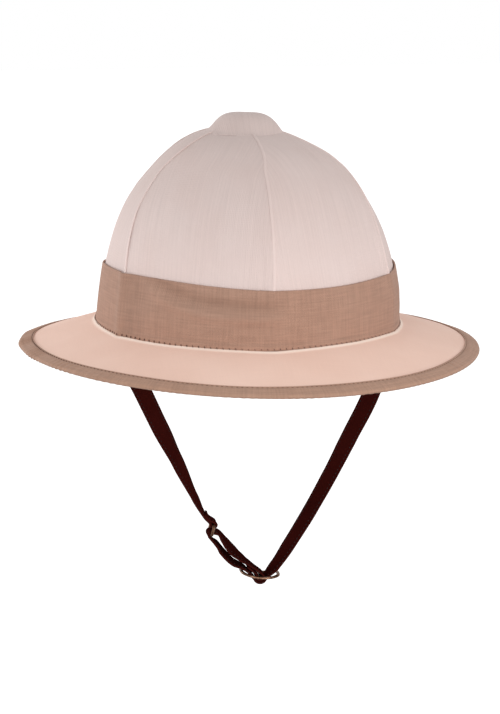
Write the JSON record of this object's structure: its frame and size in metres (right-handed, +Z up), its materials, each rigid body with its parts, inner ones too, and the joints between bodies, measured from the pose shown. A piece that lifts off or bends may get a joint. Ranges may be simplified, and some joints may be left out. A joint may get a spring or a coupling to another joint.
{
  "type": "pith helmet",
  "caption": "Pith helmet: a gored cloth dome with a top cap and a cotton band, an oval brim with a bound edge, and a leather-look chin strap with a brass slider.",
  "frame": {"origin": "centre of the oval head opening, in the plane of the dome's foot", "axes": "+Z up through the dome's apex, the front of the helmet faces -Y, +X is the side on the right when the front is looked at"},
  "size_m": [0.2808, 0.312, 0.2891],
  "materials": {
    "crown_cloth": "fine ribbed stretch cloth, pale pinkish beige, matt",
    "brim_cloth": "smooth stretch cloth, pale peach, matt",
    "band_cloth": "plain-woven cotton, tan, matt",
    "binding_cloth": "plain-woven bias tape, tan, matt",
    "strap_leather": "glossy dark brown imitation leather",
    "strap_brass": "antique brass"
  },
  "bodies": {
    "root": {"crown_gore_front_right": "crown_cloth", "crown_gore_right": "crown_cloth", "crown_gore_back_right": "crown_cloth", "crown_gore_back_left": "crown_cloth", "crown_gore_left": "crown_cloth", "crown_gore_front_left": "crown_cloth", "crown_cap": "crown_cloth", "brim": "brim_cloth", "hat_band": "band_cloth", "brim_binding": "binding_cloth", "chin_strap_left": "strap_leather", "chin_strap_right": "strap_leather", "strap_ring": "strap_brass", "strap_slider": "strap_brass"}
  },
  "joints": []
}
